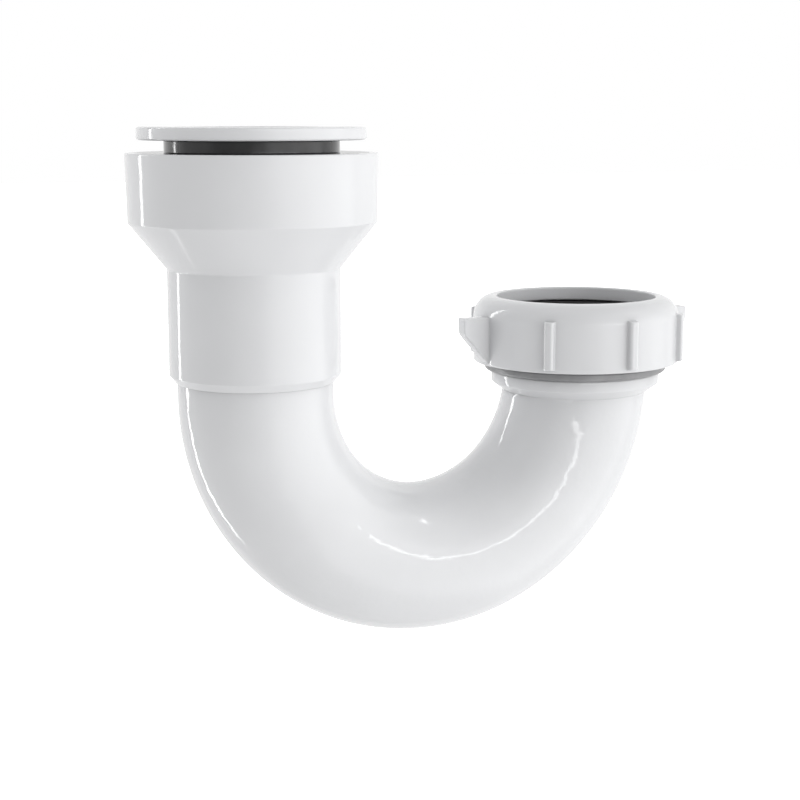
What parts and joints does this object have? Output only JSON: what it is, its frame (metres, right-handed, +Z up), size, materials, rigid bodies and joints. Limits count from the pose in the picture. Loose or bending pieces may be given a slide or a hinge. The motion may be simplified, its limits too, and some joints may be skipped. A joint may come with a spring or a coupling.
{
  "type": "p trap",
  "caption": "P trap bend: flanged inlet in a rubber-sealed cup, reducing sleeve, U bend and winged compression nut on the outlet.",
  "frame": {"origin": "on the inlet axis, at the top face of the inlet flange, where the fixture's waste meets the trap", "axes": "+Z up along the inlet axis; +X from the inlet leg to the outlet leg; the U lies in XZ"},
  "size_m": [0.1636, 0.0636, 0.1357],
  "materials": {
    "bend_plastic": "glossy moulded white",
    "socket_plastic": "glossy moulded white",
    "seal_rubber": "smooth black rubber",
    "flange_plastic": "glossy moulded white",
    "ring_plastic": "satin grey",
    "pipe_seal_rubber": "matt black rubber",
    "washer_plastic": "satin black",
    "nut_plastic": "glossy moulded white"
  },
  "bodies": {
    "trap_body": {"u_bend": "bend_plastic", "inlet_socket": "socket_plastic", "stop_ring": "ring_plastic", "outlet_seal": "pipe_seal_rubber"},
    "seal": {"inlet_seal": "seal_rubber"},
    "flange": {"inlet_flange": "flange_plastic"},
    "washer": {"slip_washer": "washer_plastic"},
    "nut": {"outlet_nut": "nut_plastic"}
  },
  "joints": [
    {"name": "seal_pull", "type": "slide", "parent": "trap_body", "child": "seal", "axis": [0, 0, 1], "range_m": [0, 0.018]},
    {"name": "flange_swivel", "type": "hinge", "parent": "seal", "child": "flange", "pos_m": [0, 0, 0], "axis": [0, 0, 1], "continuous": true},
    {"name": "nut_lift", "type": "slide", "parent": "trap_body", "child": "washer", "axis": [0, 0, 1], "range_m": [0, 0.009]},
    {"name": "nut_turn", "type": "hinge", "parent": "washer", "child": "nut", "pos_m": [0.0955, 0, -0.0558], "axis": [0, 0, 1], "range_deg": [0, 1080]}
  ],
  "couplings": [
    {"joint": "nut_lift", "follows": "nut_turn", "m_per_rad": 0.00047746}
  ]
}
